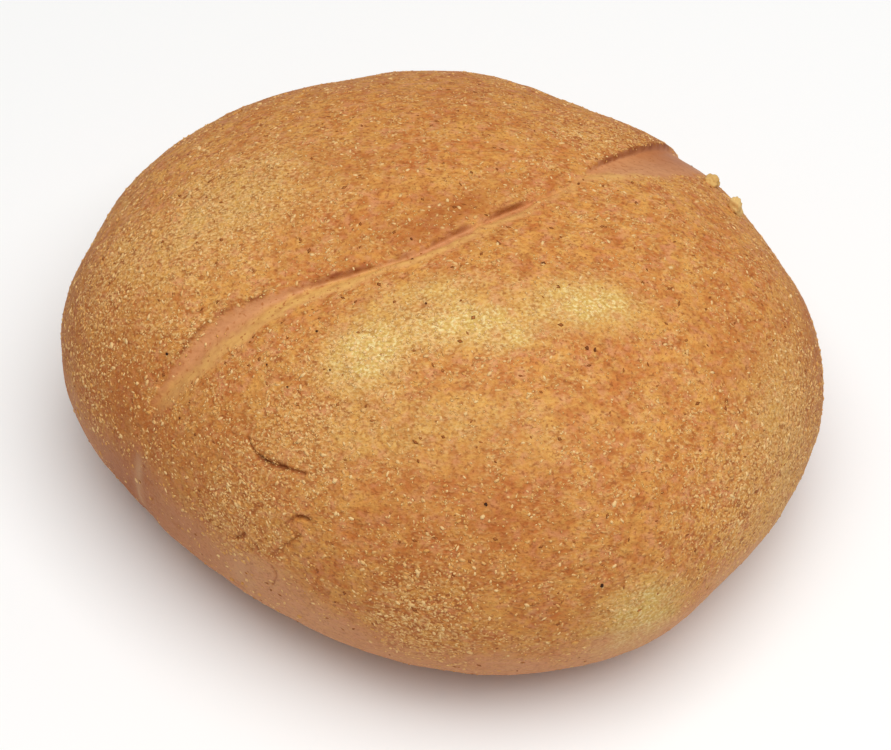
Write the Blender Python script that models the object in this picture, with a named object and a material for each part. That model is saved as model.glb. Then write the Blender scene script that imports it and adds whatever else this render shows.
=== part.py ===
"""A slashed bread roll: one crusty solid with a flat foot and a slash that opened as it baked.

Metres, +Z up. The origin is under the middle of the roll, on the surface that it rests on.
+X runs along the roll's length, +Y across it. The slash starts low on the -X -Y side, passes
just beside the summit and ends low on the +X +Y side. The crust on its +Y side is the upper
lobe, which ends in a lip over the smooth dough. The crust on its -Y side is the lower lobe.
"""

import math

import bmesh
import bpy
import numpy as np
from mathutils import Matrix, Vector

MM = 0.001

# Driving sizes of the proved and baked dough
HEIGHT_MM = 52.0
GIRTH_HEIGHT_MM = 20.0
CROWN_SQUARENESS = 2.15
FOOT_SQUARENESS = 2.6
FOOT_SINK_MM = 3.5
FOOT_ROUNDING_MM = 1.2

# Radius at the girth, seen from above, at every 20 degrees from +X round to +Y
GIRTH_MM = (57.0, 53.8, 52.8, 50.3, 52.3, 53.9, 55.6, 58.8, 59.3,
            58.6, 53.3, 49.1, 48.2, 50.4, 53.5, 55.8, 55.6, 56.9)

# Broad swells of the crown: x, y, half-length, half-width, turn in degrees, height
SWELLS_MM = (
    (4.0, -18.0, 24.0, 9.0, 14.0, 0.7),
    (-28.0, 9.0, 16.0, 11.0, 35.0, 0.5),
    (31.0, 31.0, 9.0, 6.0, 50.0, 0.4),
    (34.0, -24.0, 16.0, 12.0, -40.0, -0.2),
)

# The slash's lip seen from above, from its low end on the -X side to its low end on the +X side
LIP_MM = (
    (-46.5, -31.0), (-44.6, -21.4), (-40.4, -16.5), (-34.3, -12.0), (-26.7, -10.0),
    (-14.5, -7.8), (-5.8, -5.3), (2.0, -0.9), (10.5, 4.9), (17.6, 10.0),
    (23.1, 16.9), (29.6, 24.2), (34.6, 30.7), (39.0, 38.5),
)

# How the slash opened: distance along the lip, then the width of the bare dough, the width and
# the drop of the wall under the lip, and the depth of the trough
OPENING_MM = (
    (3.0, 1.5, 0.8, 0.0, 0.1),
    (10.0, 1.8, 0.9, 0.1, 0.3),
    (13.0, 3.0, 1.4, 0.3, 0.4),
    (19.0, 5.1, 2.0, 0.7, 0.6),
    (27.0, 5.6, 2.0, 0.7, 0.6),
    (36.0, 3.2, 0.9, 0.6, 0.4),
    (47.0, 1.9, 0.6, 0.6, 0.3),
    (50.0, 1.2, 0.6, 0.4, 0.2),
    (59.0, 2.1, 0.6, 0.6, 0.4),
    (63.5, 2.1, 0.6, 0.5, 0.4),
    (65.2, 1.2, 0.6, 0.3, 0.3),
    (67.5, 2.0, 0.5, 0.6, 0.3),
    (73.0, 2.2, 0.5, 0.8, 0.3),
    (76.0, 1.0, 0.5, 0.2, 0.2),
    (85.0, 1.2, 0.5, 0.2, 0.2),
    (90.0, 4.3, 0.5, 0.6, 0.3),
    (100.0, 7.5, 0.5, 0.9, 0.3),
    (107.0, 7.5, 0.8, 0.7, 0.2),
    (120.0, 2.0, 0.8, 0.0, 0.1),
)
LIP_ROLL_MM = 4.0
VALLEY_MM = 0.8
VALLEY_HALF_MM = 9.0

# Furrows in the crust: points along each, then its half-width and depth
FURROWS_MM = (
    (((-27.8, -29.4, 38.5), (-26.7, -31.4, 37.6), (-24.6, -33.2, 37.5), (-19.7, -35.5, 38.2)), 0.9, 0.6),
    (((-22.6, -39.6, 31.9), (-20.7, -39.6, 33.5), (-19.2, -40.4, 33.8)), 0.8, 0.4),
    (((-24.9, -40.9, 26.0), (-23.5, -41.1, 27.9), (-20.6, -41.4, 31.4)), 0.8, 0.35),
)

# Crumbs baked on beside the far end of the slash: place on the crust, half-sizes and turn
CRUMBS_MM = (
    ((41.6, 22.2, 37.4), (1.0, 1.0, 1.3), 0.4),
    ((44.9, 17.0, 36.8), (1.1, 1.3, 2.0), 0.2),
)
CRUMB_LIFT_MM = 0.5

# Middle of the roll's outline in the coordinates of the routes above
MIDDLE_MM = (-0.88, 0.39)

# The grid that the roll is sculpted from
GRID_CUTS = 21
CROWN_SPREAD = 0.8
FOOT_SPREAD = 0.5
FINE_REACH_MM = 5.0
SNAP_MM = 0.4


def smooth_path(points, steps):
    """A rounded curve through the points, as a fine run of points: plan coordinates in mm."""
    knots = np.array([points[0], *points, points[-1]], dtype=float)
    run = []
    for index in range(1, len(knots) - 2):
        before, here, after, beyond = knots[index - 1:index + 3]
        for along in np.arange(steps) / steps:
            bend = along ** 2 * (2 * before - 5 * here + 4 * after - beyond)
            twist = along ** 3 * (3 * here - before - 3 * after + beyond)
            run.append((2 * here + along * (after - before) + bend + twist) / 2)
    run.append(knots[-1])
    return np.array(run)


def along_and_across(points, path):
    """For plan points in mm: distance along the path, and across it with its left side positive."""
    starts = path[:-1]
    edges = path[1:] - starts
    lengths = np.linalg.norm(edges, axis=1)
    travelled = np.concatenate(([0.0], np.cumsum(lengths)[:-1]))
    offset = points[:, None, :] - starts[None, :, :]
    share = (offset * edges).sum(axis=2) / lengths ** 2
    share = np.clip(share, 0.0, 1.0)
    gap = offset - share[:, :, None] * edges
    distance = np.linalg.norm(gap, axis=2)
    nearest = distance.argmin(axis=1)
    rows = np.arange(len(points))
    side = edges[nearest, 0] * offset[rows, nearest, 1] - edges[nearest, 1] * offset[rows, nearest, 0]
    along = travelled[nearest] + share[rows, nearest] * lengths[nearest]
    return along, np.where(side >= 0.0, 1.0, -1.0) * distance[rows, nearest]


def girth_radius(azimuth):
    """The roll's radius at its girth in mm, seen from above: a smooth curve through the radii."""
    count = len(GIRTH_MM)
    place = np.mod(np.degrees(azimuth), 360.0) * count / 360.0
    first = np.floor(place).astype(int)
    along = place - first
    before, here, after, beyond = (np.take(GIRTH_MM, first + step, mode="wrap") for step in (-1, 0, 1, 2))
    bend = along ** 2 * (2 * before - 5 * here + 4 * after - beyond)
    twist = along ** 3 * (3 * here - before - 3 * after + beyond)
    return (2 * here + along * (after - before) + bend + twist) / 2


def squircle_reach(across, up, radius, height, squareness):
    """Distance from the centre to a superellipse along the direction (across, up)."""
    return ((across / radius) ** squareness + (up / height) ** squareness) ** (-1.0 / squareness)


def dough_points(rays):
    """Where rays from the middle of the girth meet the smooth dough, in mm, with a flat foot."""
    across = np.hypot(rays[:, 0], rays[:, 1])
    up = np.abs(rays[:, 2])
    girth = girth_radius(np.arctan2(rays[:, 1], rays[:, 0]))
    crown = squircle_reach(across, up, girth, HEIGHT_MM - GIRTH_HEIGHT_MM, CROWN_SQUARENESS)
    foot = squircle_reach(across, up, girth, GIRTH_HEIGHT_MM + FOOT_SINK_MM, FOOT_SQUARENESS)
    points = rays * np.where(rays[:, 2] >= 0.0, crown, foot)[:, None]
    points[:, 2] = rounded_foot(points[:, 2] + GIRTH_HEIGHT_MM)
    return points


def rounded_foot(height):
    """Heights with everything under the resting surface pressed flat on it, by way of a small curve."""
    curve = (height + FOOT_ROUNDING_MM) ** 2 / (4 * FOOT_ROUNDING_MM)
    above = np.where(height < FOOT_ROUNDING_MM, curve, height)
    return np.where(height < -FOOT_ROUNDING_MM, 0.0, above)


def swells(points):
    """Broad unevenness of the baked crown, in mm."""
    x, y = points[:, 0], points[:, 1]
    rise = 0.25 * np.sin(x / 8.0 + 1.3) * np.cos(y / 9.5 + 0.4)
    rise = rise + 0.15 * np.sin((x + 1.7 * y) / 7.0 + 2.0)
    for centre_x, centre_y, half_length, half_width, turn, height in SWELLS_MM:
        cos, sin = math.cos(math.radians(turn)), math.sin(math.radians(turn))
        length = ((x - centre_x) * cos + (y - centre_y) * sin) / half_length
        width = ((y - centre_y) * cos - (x - centre_x) * sin) / half_width
        rise = rise + height * np.exp(-length ** 2 - width ** 2)
    return rise


def eased(share):
    """A share from 0 to 1 that sets off and arrives gently."""
    share = np.clip(share, 0.0, 1.0)
    return share * share * (3.0 - 2.0 * share)


def opening(along):
    """Width of the bare dough, width and drop of the wall and depth of the trough, this far along."""
    stations = np.array(OPENING_MM)
    return [np.interp(along, stations[:, 0], stations[:, column]) for column in (1, 2, 3, 4)]


def slash_relief(along, across):
    """Height of the slash's lip, bare dough and trough against the smooth dough, in mm."""
    width, wall, drop, trough = opening(along)
    fallen = eased(-across / wall)
    regained = eased((-across - wall) / (width - wall))
    lip = 0.3 * drop * np.exp(-np.maximum(across, 0.0) / LIP_ROLL_MM)
    rise = lip * (1.0 - fallen) - drop * fallen * (1.0 - regained)
    rise = rise - trough * np.exp(-((across + 0.5 * width) / (0.5 * width + 1.2)) ** 2)
    rise = rise - VALLEY_MM * np.exp(-(across / VALLEY_HALF_MM) ** 2)
    low_end = np.exp(-(np.maximum(0.0, 13.0 - along) / 6.0) ** 2)
    far_end = np.exp(-(np.maximum(0.0, along - 108.0) / 6.0) ** 2)
    return rise * low_end * far_end


def distance_to(points, route):
    """Shortest distance in mm from points on the dough to a route that is laid on it."""
    route = dough_points(rays_to(np.array(route)))
    nearest = np.full(len(points), np.inf)
    for start, end in zip(route[:-1], route[1:]):
        edge = end - start
        share = np.clip((points - start) @ edge / (edge @ edge), 0.0, 1.0)
        gap = points - start - share[:, None] * edge
        nearest = np.minimum(nearest, np.linalg.norm(gap, axis=1))
    return nearest


def furrow_relief(points):
    """Depth of the small furrows, in mm."""
    rise = np.zeros(len(points))
    for route, half_width, depth in FURROWS_MM:
        rise = rise - depth * np.exp(-(distance_to(points, route) / half_width) ** 2)
    return rise


def crust_relief(points):
    """All that lifts or sinks the crust against the smooth dough, in mm, fading out near the foot."""
    along, across = along_and_across(points[:, :2], smooth_path(LIP_MM, 8))
    rise = swells(points) + slash_relief(along, across) + furrow_relief(points)
    return rise * eased((points[:, 2] - 3.0) / 12.0)


def rays_to(points):
    """Unit directions from the middle of the girth."""
    rays = points - np.array((0.0, 0.0, GIRTH_HEIGHT_MM))
    return rays / np.linalg.norm(rays, axis=1)[:, None]


def coordinates(mesh):
    """The points of a bmesh in mm."""
    return np.array([vert.co for vert in mesh.verts]) / MM


def place(mesh, points):
    """Move the points of a bmesh to these, in mm."""
    for vert, point in zip(mesh.verts, points):
        vert.co = point * MM
    mesh.normal_update()


def grid_ball():
    """A cube with its sides cut into a grid and blown up to the dough: even faces and no poles."""
    ball = bmesh.new()
    bmesh.ops.create_cube(ball, size=2.0)
    bmesh.ops.subdivide_edges(ball, edges=ball.edges[:], cuts=GRID_CUTS, use_grid_fill=True)
    rays = np.tan(np.array([vert.co for vert in ball.verts]) * math.pi / 4)
    rays /= np.linalg.norm(rays, axis=1)[:, None]
    rays[:, 2] *= np.where(rays[:, 2] > 0.0, CROWN_SPREAD, FOOT_SPREAD)
    place(ball, dough_points(rays / np.linalg.norm(rays, axis=1)[:, None]))
    return ball


def refine(ball):
    """Cut the faces beside the slash and on the furrows finer."""
    ball.faces.ensure_lookup_table()
    middles = np.array([face.calc_center_median() for face in ball.faces]) / MM
    across = along_and_across(middles[:, :2], smooth_path(LIP_MM, 8))[1]
    near = np.abs(across) < FINE_REACH_MM
    for route, half_width, _ in FURROWS_MM:
        near |= distance_to(middles, route) < 2.5 * half_width
    near &= middles[:, 2] > 8.0
    edges = {edge for index in np.nonzero(near)[0] for edge in ball.faces[index].edges}
    bmesh.ops.subdivide_edges(ball, edges=list(edges), cuts=1, use_grid_fill=True)


def gap_to_wall(points, share):
    """Plan distance to a line that runs down the wall under the lip: 0 at its top, 1 at its foot."""
    along, across = along_and_across(points, smooth_path(LIP_MM, 8))
    return across + share * opening(along)[1]


def on_wall(points, share):
    """Points slid over the dough until they lie on that line."""
    for _ in range(4):
        gap = gap_to_wall(points[:, :2], share)
        slope = np.zeros((len(points), 2))
        for axis in (0, 1):
            moved = points[:, :2].copy()
            moved[:, axis] += 0.05
            slope[:, axis] = (gap_to_wall(moved, share) - gap) / 0.05
        points[:, :2] -= gap[:, None] * slope
        points = dough_points(rays_to(points))
    return points


def score(ball, share):
    """Cut the crown so that a chain of edges runs along the wall under the lip."""
    points = coordinates(ball)
    gap = gap_to_wall(points[:, :2], share)
    crown = (points[:, 2] > 6.0) & (np.abs(gap) < FINE_REACH_MM)
    gap[crown & (np.abs(gap) < SNAP_MM)] = 0.0
    ball.verts.ensure_lookup_table()
    chain = [ball.verts[index] for index in np.nonzero(crown & (gap == 0.0))[0]]
    for edge in list(ball.edges):
        one, other = edge.verts[0].index, edge.verts[1].index
        if crown[one] and crown[other] and gap[one] * gap[other] < 0.0:
            split = gap[one] / (gap[one] - gap[other])
            chain.append(bmesh.utils.edge_split(edge, edge.verts[0], split)[1])
    bmesh.ops.connect_verts(ball, verts=chain)
    ball.verts.index_update()
    members = [vert.index for vert in chain]
    points = dough_points(rays_to(coordinates(ball)))
    points[members] = on_wall(points[members], share)
    place(ball, points)


def roll_mesh():
    """The whole roll without its crumbs."""
    ball = grid_ball()
    refine(ball)
    score(ball, 0.0)
    score(ball, 1.0)
    points = coordinates(ball)
    normals = np.array([vert.normal for vert in ball.verts])
    place(ball, points + normals * crust_relief(points)[:, None] - np.array((*MIDDLE_MM, 0.0)))
    bmesh.ops.triangulate(ball, faces=ball.faces[:])
    bmesh.ops.recalc_face_normals(ball, faces=ball.faces[:])
    mesh = bpy.data.meshes.new("bread_roll")
    ball.to_mesh(mesh)
    ball.free()
    return mesh


def crumb_mesh():
    """Both crumbs: small lumps with a few flat sides, half sunk in the crust."""
    crumbs = bmesh.new()
    for spot, size, turn in CRUMBS_MM:
        ray = rays_to(np.array([spot]))
        seat = dough_points(ray)
        seat = (seat + (crust_relief(seat) + CRUMB_LIFT_MM) * ray)[0] - np.array((*MIDDLE_MM, 0.0))
        form = Matrix.Translation(Vector(seat * MM)) @ Matrix.Rotation(turn, 4, Vector((0.3, 0.8, 0.5)))
        form = form @ Matrix.Diagonal(Vector((*(np.array(size) * MM), 1.0)))
        bmesh.ops.create_icosphere(crumbs, subdivisions=1, radius=1.0, matrix=form)
    mesh = bpy.data.meshes.new("crumbs")
    crumbs.to_mesh(mesh)
    crumbs.free()
    return mesh


def crust_material():
    """The colour of the crust in the plain model."""
    material = bpy.data.materials.new("baked crust")
    material.use_nodes = True
    shader = material.node_tree.nodes["Principled BSDF"]
    shader.inputs["Base Color"].default_value = (0.57, 0.26, 0.085, 1.0)
    shader.inputs["Roughness"].default_value = 0.75
    return material


def collection(name):
    """A new collection in the scene."""
    group = bpy.data.collections.new(name)
    bpy.context.scene.collection.children.link(group)
    return group


def fuse(body, extra):
    """Join the crumbs to the roll for good."""
    union = body.modifiers.new("crumbs baked on", "BOOLEAN")
    union.operation = "UNION"
    union.solver = "EXACT"
    union.object = extra
    bpy.context.view_layer.update()
    depsgraph = bpy.context.evaluated_depsgraph_get()
    joined = bpy.data.meshes.new_from_object(body.evaluated_get(depsgraph))
    body.modifiers.clear()
    body.data = joined
    bpy.data.objects.remove(extra)


def main():
    for obj in list(bpy.data.objects):
        bpy.data.objects.remove(obj)
    group = collection("bread_roll")
    roll = bpy.data.objects.new("bread_roll", roll_mesh())
    group.objects.link(roll)
    crumbs = bpy.data.objects.new("crumbs", crumb_mesh())
    group.objects.link(crumbs)
    fuse(roll, crumbs)
    roll.data.name = "bread_roll"
    roll.data.materials.clear()
    roll.data.materials.append(crust_material())
    for face in roll.data.polygons:
        face.use_smooth = True


main()
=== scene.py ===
"""A slashed bread roll, dusted with semolina and baked to a dark gold.

The frame holds the plain roll. This script gives it its real surface: a finely sculpted crust
with the slash and the furrows, the grains that stick to it, and the materials of both.

Metres, +Z up, with the roll standing on the floor at the origin. Shapes are worked out in
millimetres. The slash starts low on the -X -Y side, passes just beside the summit and ends low
on the +X +Y side. Its upper lobe, on the +Y side, ends in a lip over the smooth bare dough.
"""

import math

import bmesh
import bpy
import numpy as np
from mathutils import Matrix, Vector, noise


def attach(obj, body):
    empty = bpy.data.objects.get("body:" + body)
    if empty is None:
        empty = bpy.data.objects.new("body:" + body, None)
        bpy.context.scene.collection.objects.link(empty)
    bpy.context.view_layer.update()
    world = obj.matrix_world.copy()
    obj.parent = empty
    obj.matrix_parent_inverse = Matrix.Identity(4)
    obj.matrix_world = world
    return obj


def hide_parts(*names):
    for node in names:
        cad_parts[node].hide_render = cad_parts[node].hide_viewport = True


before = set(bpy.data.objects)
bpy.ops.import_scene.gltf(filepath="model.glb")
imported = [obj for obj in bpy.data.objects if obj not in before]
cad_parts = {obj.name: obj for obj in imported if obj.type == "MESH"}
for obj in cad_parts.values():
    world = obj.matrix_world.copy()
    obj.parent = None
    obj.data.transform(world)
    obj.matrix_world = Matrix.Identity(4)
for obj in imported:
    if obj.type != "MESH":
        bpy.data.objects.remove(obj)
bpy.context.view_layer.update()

MM = 0.001
BODY = "root"
NODE = "bread_roll"

# The dough's driving sizes, as the plain roll has them
HEIGHT_MM = 52.0
GIRTH_HEIGHT_MM = 20.0
CROWN_SQUARENESS = 2.15
FOOT_SQUARENESS = 2.6
FOOT_SINK_MM = 3.5
FOOT_ROUNDING_MM = 1.2

# Radius at the girth, seen from above, at every 20 degrees from +X round to +Y
GIRTH_MM = (57.0, 53.8, 52.8, 50.3, 52.3, 53.9, 55.6, 58.8, 59.3,
            58.6, 53.3, 49.1, 48.2, 50.4, 53.5, 55.8, 55.6, 56.9)

# Broad swells of the crown: x, y, half-length, half-width, turn in degrees, height
SWELLS_MM = (
    (4.0, -18.0, 24.0, 9.0, 14.0, 0.7),
    (-28.0, 9.0, 16.0, 11.0, 35.0, 0.5),
    (31.0, 31.0, 9.0, 6.0, 50.0, 0.4),
    (34.0, -24.0, 16.0, 12.0, -40.0, -0.2),
)

# Low waves of the crown: height, then mm for each radian and the phase at 0, along X and along Y
WAVES_MM = 0.25
WAVES_ALONG_X = (8.0, 1.3)
WAVES_ALONG_Y = (9.5, 0.4)

# Lower waves that run askew, given in the same way, and how far they lean to Y
SKEW_WAVES_MM = 0.15
SKEW_WAVES = (7.0, 2.0)
SKEW_LEAN = 1.7

# The relief sets in above this height and is full this much higher
RELIEF_FROM_MM = 3.0
RELIEF_RISE_MM = 12.0

# The slash's lip seen from above, from its low end on the -X side to its low end on the +X side
LIP_MM = (
    (-46.5, -31.0), (-44.6, -21.4), (-40.4, -16.5), (-34.3, -12.0), (-26.7, -10.0),
    (-14.5, -7.8), (-5.8, -5.3), (2.0, -0.9), (10.5, 4.9), (17.6, 10.0),
    (23.1, 16.9), (29.6, 24.2), (34.6, 30.7), (39.0, 38.5),
)

# How the slash opened: distance along the lip, then the width of the bare dough, the width and
# the drop of the wall under the lip, the depth of the trough, how bare the dough is, and how far
# across it is pink before it turns yellow
OPENING_MM = (
    (3.0, 1.5, 0.8, 0.0, 0.1, 0.0, 0.0),
    (10.0, 1.8, 0.9, 0.1, 0.3, 0.0, 0.0),
    (13.0, 3.0, 1.4, 0.3, 0.4, 0.7, 0.0),
    (19.0, 5.1, 2.0, 0.7, 0.6, 0.85, 0.5),
    (27.0, 5.6, 2.0, 0.7, 0.6, 0.9, 0.45),
    (36.0, 3.2, 0.9, 0.6, 0.4, 1.0, 0.1),
    (47.0, 1.9, 0.6, 0.6, 0.3, 0.9, 0.0),
    (50.0, 1.2, 0.6, 0.4, 0.2, 0.8, 0.1),
    (59.0, 2.1, 0.6, 0.6, 0.4, 0.9, 0.45),
    (63.5, 2.1, 0.6, 0.5, 0.4, 0.9, 0.45),
    (65.2, 1.2, 0.6, 0.3, 0.3, 0.3, 0.3),
    (67.5, 2.0, 0.5, 0.6, 0.3, 0.8, 0.3),
    (73.0, 2.2, 0.5, 0.8, 0.3, 0.8, 0.3),
    (76.0, 1.0, 0.5, 0.2, 0.2, 0.2, 0.3),
    (85.0, 1.2, 0.5, 0.2, 0.2, 0.5, 0.0),
    (90.0, 4.3, 0.5, 0.6, 0.3, 1.0, 0.5),
    (100.0, 7.5, 0.5, 0.9, 0.3, 1.0, 1.1),
    (107.0, 7.5, 0.8, 0.7, 0.2, 1.0, 1.3),
    (120.0, 2.0, 0.8, 0.0, 0.1, 0.0, 1.3),
)
WIDTH, WALL, DROP, TROUGH, BARENESS, PINKNESS = range(1, 7)

# Where the lip stands clear of the dough: from and to along it, over what length it rises, how far
# it hangs over, and how dark the line under it is: painted shade, with some browned crust
CLEAR_LIP_MM = (
    (16.0, 33.0, 3.0, 0.0, 0.9),
    (35.0, 48.8, 8.0, 0.2, 1.0),
    (51.0, 54.2, 1.0, 0.0, 0.6),
    (56.8, 64.4, 1.5, 0.1, 0.75),
    (66.3, 74.2, 3.5, 0.3, 0.75),
    (87.0, 109.0, 6.0, 0.2, 0.85),
)
OVERHANG, LINE_SHADE = 3, 4

# Each such stretch ends over this much, and the tuck under it fades beyond the wall over this much
LIP_END_MM = 1.2
TUCK_FADE_MM = 0.9

# The lip swells by this share of the wall's drop and rolls off this far behind it
LIP_SWELL = 0.3
LIP_ROLL_MM = 4.0

# The trough reaches this far past the bare dough, and the slash lies in a shallow valley
TROUGH_SPREAD_MM = 1.2
VALLEY_MM = 0.8
VALLEY_HALF_MM = 9.0

# From where to where along the lip the slash has its full depth, and how it fades beyond
FULL_SLASH_MM = (13.0, 108.0)
SLASH_FADE_MM = 6.0

# How finely the routes of the lip and of the furrows are rounded
LIP_STEPS = 8
FURROW_STEPS = 4

# Furrows in the crust: points along each, then its half-width, its depth and how dark it is, as
# painted shade with some browning
FURROWS_MM = (
    (((-27.8, -29.4, 38.5), (-26.7, -31.4, 37.6), (-24.6, -33.2, 37.5)), 0.25, 0.4, 0.5),
    (((-26.2, -32.1, 37.5), (-24.6, -33.2, 37.5), (-22.6, -34.1, 37.9)), 0.55, 0.6, 0.8),
    (((-23.5, -33.7, 37.6), (-21.4, -34.7, 38.0), (-19.7, -35.5, 38.2)), 0.28, 0.4, 0.7),
    (((-22.6, -39.6, 31.9), (-20.7, -39.6, 33.5), (-19.6, -40.2, 33.7)), 0.25, 0.3, 0.35),
    (((-20.7, -39.6, 33.5), (-20.0, -39.9, 33.8), (-19.2, -40.4, 33.8)), 0.38, 0.45, 0.7),
    (((-24.9, -40.9, 26.0), (-23.5, -41.1, 27.9), (-20.6, -41.4, 31.4)), 0.25, 0.3, 0.3),
    (((-30.1, -37.4, 25.5), (-29.2, -37.8, 26.4), (-28.8, -37.8, 27.1)), 0.32, 0.4, 0.75),
    (((-27.1, -39.3, 26.4), (-26.8, -39.7, 25.5)), 0.35, 0.35, 0.6),
    (((-24.9, -41.3, 24.1), (-24.2, -41.8, 22.6), (-24.9, -41.5, 20.0)), 0.2, 0.2, 0.3),
)

# Crumbs baked on beside the far end of the slash: place on the crust and half-sizes
CRUMBS_MM = (
    ((41.3, 22.2, 37.4), (1.1, 1.1, 1.3)),
    ((44.4, 17.0, 36.8), (1.0, 1.4, 2.1)),
)
CRUMB_LIFT_MM = 0.4

# Middle of the roll's outline in the coordinates of the routes above
MIDDLE_MM = (-0.88, 0.39, 0.0)

# The grid that the roll is sculpted from, and its finer bands: from and to this far across the
# lip, and this near to a furrow
GRID_CUTS = 96
FINE_BANDS_MM = ((-4.0, 3.0, 2.6), (-1.8, 1.0, 1.7), (0.0, 0.0, 1.0))
FINE_ABOVE_MM = 8.0
POINTS_AT_ONCE = 20000

# The grid's rays are flattened by these shares, which evens out its faces on the crown and foot
CROWN_SPREAD = 0.8
FOOT_SPREAD = 0.5

# The chains of edges along the wall under the lip: where the grid is cut for them, how near a
# point already counts as on the line, and the steps in which points are slid onto it
CUT_ABOVE_MM = 6.0
CUT_REACH_MM = 5.0
SNAP_MM = 0.06
SLIDE_TIMES = 4
SLIDE_PROBE_MM = 0.05

# Small unevenness of the skin: size across, then height
SKIN_MM = ((9.0, 0.16), (4.2, 0.11), (2.0, 0.07), (1.2, 0.03))
SKIN_FROM_FLOOR_MM = 3.0
CALM_DOUGH = 0.6
PIT_DEPTH_MM = 0.25

# A pit starts where its random hill is this high, and is at its deepest this much higher
PIT_FROM = 0.42
PIT_RISE = 0.3

# Random hills that make edges and patches uneven: size across in mm, height, and seed. Seeds
# lie this far apart in the noise, and streaks are drawn out down the side.
HILLS = {
    "pits": (2.2, 1.0, 7),
    "ragged_lip": (0.8, 0.4, 11),
    "ragged_dough": (0.8, 0.5, 11),
    "wavy_dough": (2.6, 0.7, 12),
    "broad_band": (7.0, 3.0, 13),
    "fine_band": (2.2, 2.2, 14),
    "broken_line": (2.2, 0.8, 15),
    "broad_clumps": (5.0, 0.5, 16),
    "small_clumps": (2.0, 0.6, 17),
    "broad_yellow": (2.5, 0.4, 18),
    "pale_edges": (3.0, 0.7, 19),
    "wavering_line": (1.1, 0.2, 20),
    "crumb_lumps": (0.9, 0.35, 21),
    "crumb_grain": (0.35, 0.2, 22),
    "streaks": (1.5, 0.8, 23),
    "small_yellow": (1.0, 0.3, 24),
}
SEED_SHIFT = (17.3, 5.1, 9.7)
STREAK_STRETCH = (1.0, 1.0, 0.4)

# The dark line under the lip, painted shade with some browned crust: how far beyond the lip it lies,
# how wide it is there and on the lip, and how strong it is on average and at its faintest
LINE_BEYOND_MM = 0.06
LINE_HALF_MM = 0.36
LINE_HALF_ON_LIP_MM = 0.45
LINE_STRENGTH = 0.85
LINE_FAINTEST = 0.3

# How softly the bare dough ends, and turns from pink to yellow as a share of its width
DOUGH_FADE_MM = 1.1
YELLOW_FADE = 0.5

# Height on the side where the dusting ends, at every 30 degrees from +X round to +Y
DUST_EDGE_MM = (17.0, 16.0, 17.0, 18.0, 17.0, 18.0, 20.0, 25.0, 23.5, 15.5, 18.0, 16.5)
DUST_FADE_MM = 9.0

# Where the crust is paler and yellower: place, half-length, half-width, turn in degrees, share
PALE_MM = (
    (-10.0, -22.4, 4.8, 3.8, 30.0, 1.5),
    (4.0, -18.6, 8.0, 3.0, 8.0, 1.1),
    (-2.0, -13.5, 8.0, 2.6, 12.0, 0.45),
    (11.0, -21.0, 4.0, 1.6, 20.0, 0.5),
    (21.0, -14.0, 6.0, 3.2, 8.0, 1.1),
    (-4.0, -33.0, 20.0, 5.0, 0.0, 0.2),
    (-31.0, 6.0, 15.0, 9.0, 35.0, 0.3),
    (30.0, -49.3, 9.0, 1.9, 24.0, 1.2),
    (50.0, -20.0, 5.0, 12.0, -20.0, 0.3),
)

# Where the crust is darker, given in the same way: partly crust that baked darker, near the slash
# and elsewhere, and partly painted shade on the left and right rims and the low front, where the light falls
# off
DARK_BAKE_AND_SHADE_MM = (
    (4.0, 4.5, 12.0, 3.6, 28.0, 0.55),
    (-12.0, -2.0, 10.0, 4.0, 15.0, 0.35),
    (-31.0, -31.5, 12.0, 8.0, -40.0, 0.65),
    (35.0, 26.0, 7.0, 6.0, 45.0, 1.0),
    (4.0, -46.0, 22.0, 9.0, 0.0, 0.6),
    (0.5, 0.5, 7.0, 2.0, 40.0, 0.9),
    (-14.0, 12.0, 14.0, 7.0, 20.0, 0.35),
    (44.0, -14.0, 6.0, 14.0, 10.0, 0.3),
    (-46.0, -16.0, 6.0, 14.0, 20.0, 0.9),
    (-56.0, 2.0, 5.0, 14.0, 0.0, 0.75),
    (5.0, -5.2, 8.0, 1.6, 38.0, 0.35),
    (56.0, -6.0, 5.0, 18.0, 0.0, 0.8),
    (0.0, 34.0, 30.0, 12.0, 0.0, 0.25),
)

# Where the bare side is dusky, given in the same way: its own darker tone, and painted shade on the
# low left side, where the light falls off
DUSKY_MM = (
    (-46.5, -19.5, 5.0, 8.0, 25.0, 1.0),
    (-38.0, -30.5, 7.0, 3.0, -45.0, 0.25),
)

# Where flour was rubbed into the bare side, given in the same way
FLOURY_MM = (
    (-43.9, -23.2, 2.2, 0.9, 50.0, 0.8),
    (-28.8, -38.8, 3.0, 0.8, -43.0, 0.25),
)

# Flour shows above this height and is full this much higher
FLOUR_FROM_MM = 11.0
FLOUR_RISE_MM = 7.0

# Where the grains lie thick, given in the same way
THICK_DUST_MM = (
    (-33.0, 6.0, 15.0, 10.0, 35.0, 1.2),
    (-50.0, -2.0, 5.0, 10.0, 5.0, 1.2),
    (-38.0, -18.0, 8.0, 8.0, 0.0, 0.5),
    (27.0, 24.0, 9.0, 6.0, 0.0, 1.0),
    (53.0, -20.0, 5.0, 14.0, -15.0, 1.2),
    (44.0, -34.0, 8.0, 8.0, 40.0, 0.7),
    (-3.0, -51.5, 7.0, 3.0, 0.0, 1.5),
    (-26.0, -34.0, 14.0, 6.0, 30.0, 1.0),
    (-5.0, -21.0, 16.0, 6.0, 12.0, 0.6),
)

# The dusting elsewhere, its least and most, and the share that the bare side, the pale crust and
# the bare dough do without
THIN_DUST = 0.35
DUST_LIMITS = (0.03, 1.3)
FEWER_ON_SIDE = 0.88
FEWER_ON_PALE = 0.3
FEWER_ON_DOUGH = 0.8
CLEAN_FOOT_MM = 1.5

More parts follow.
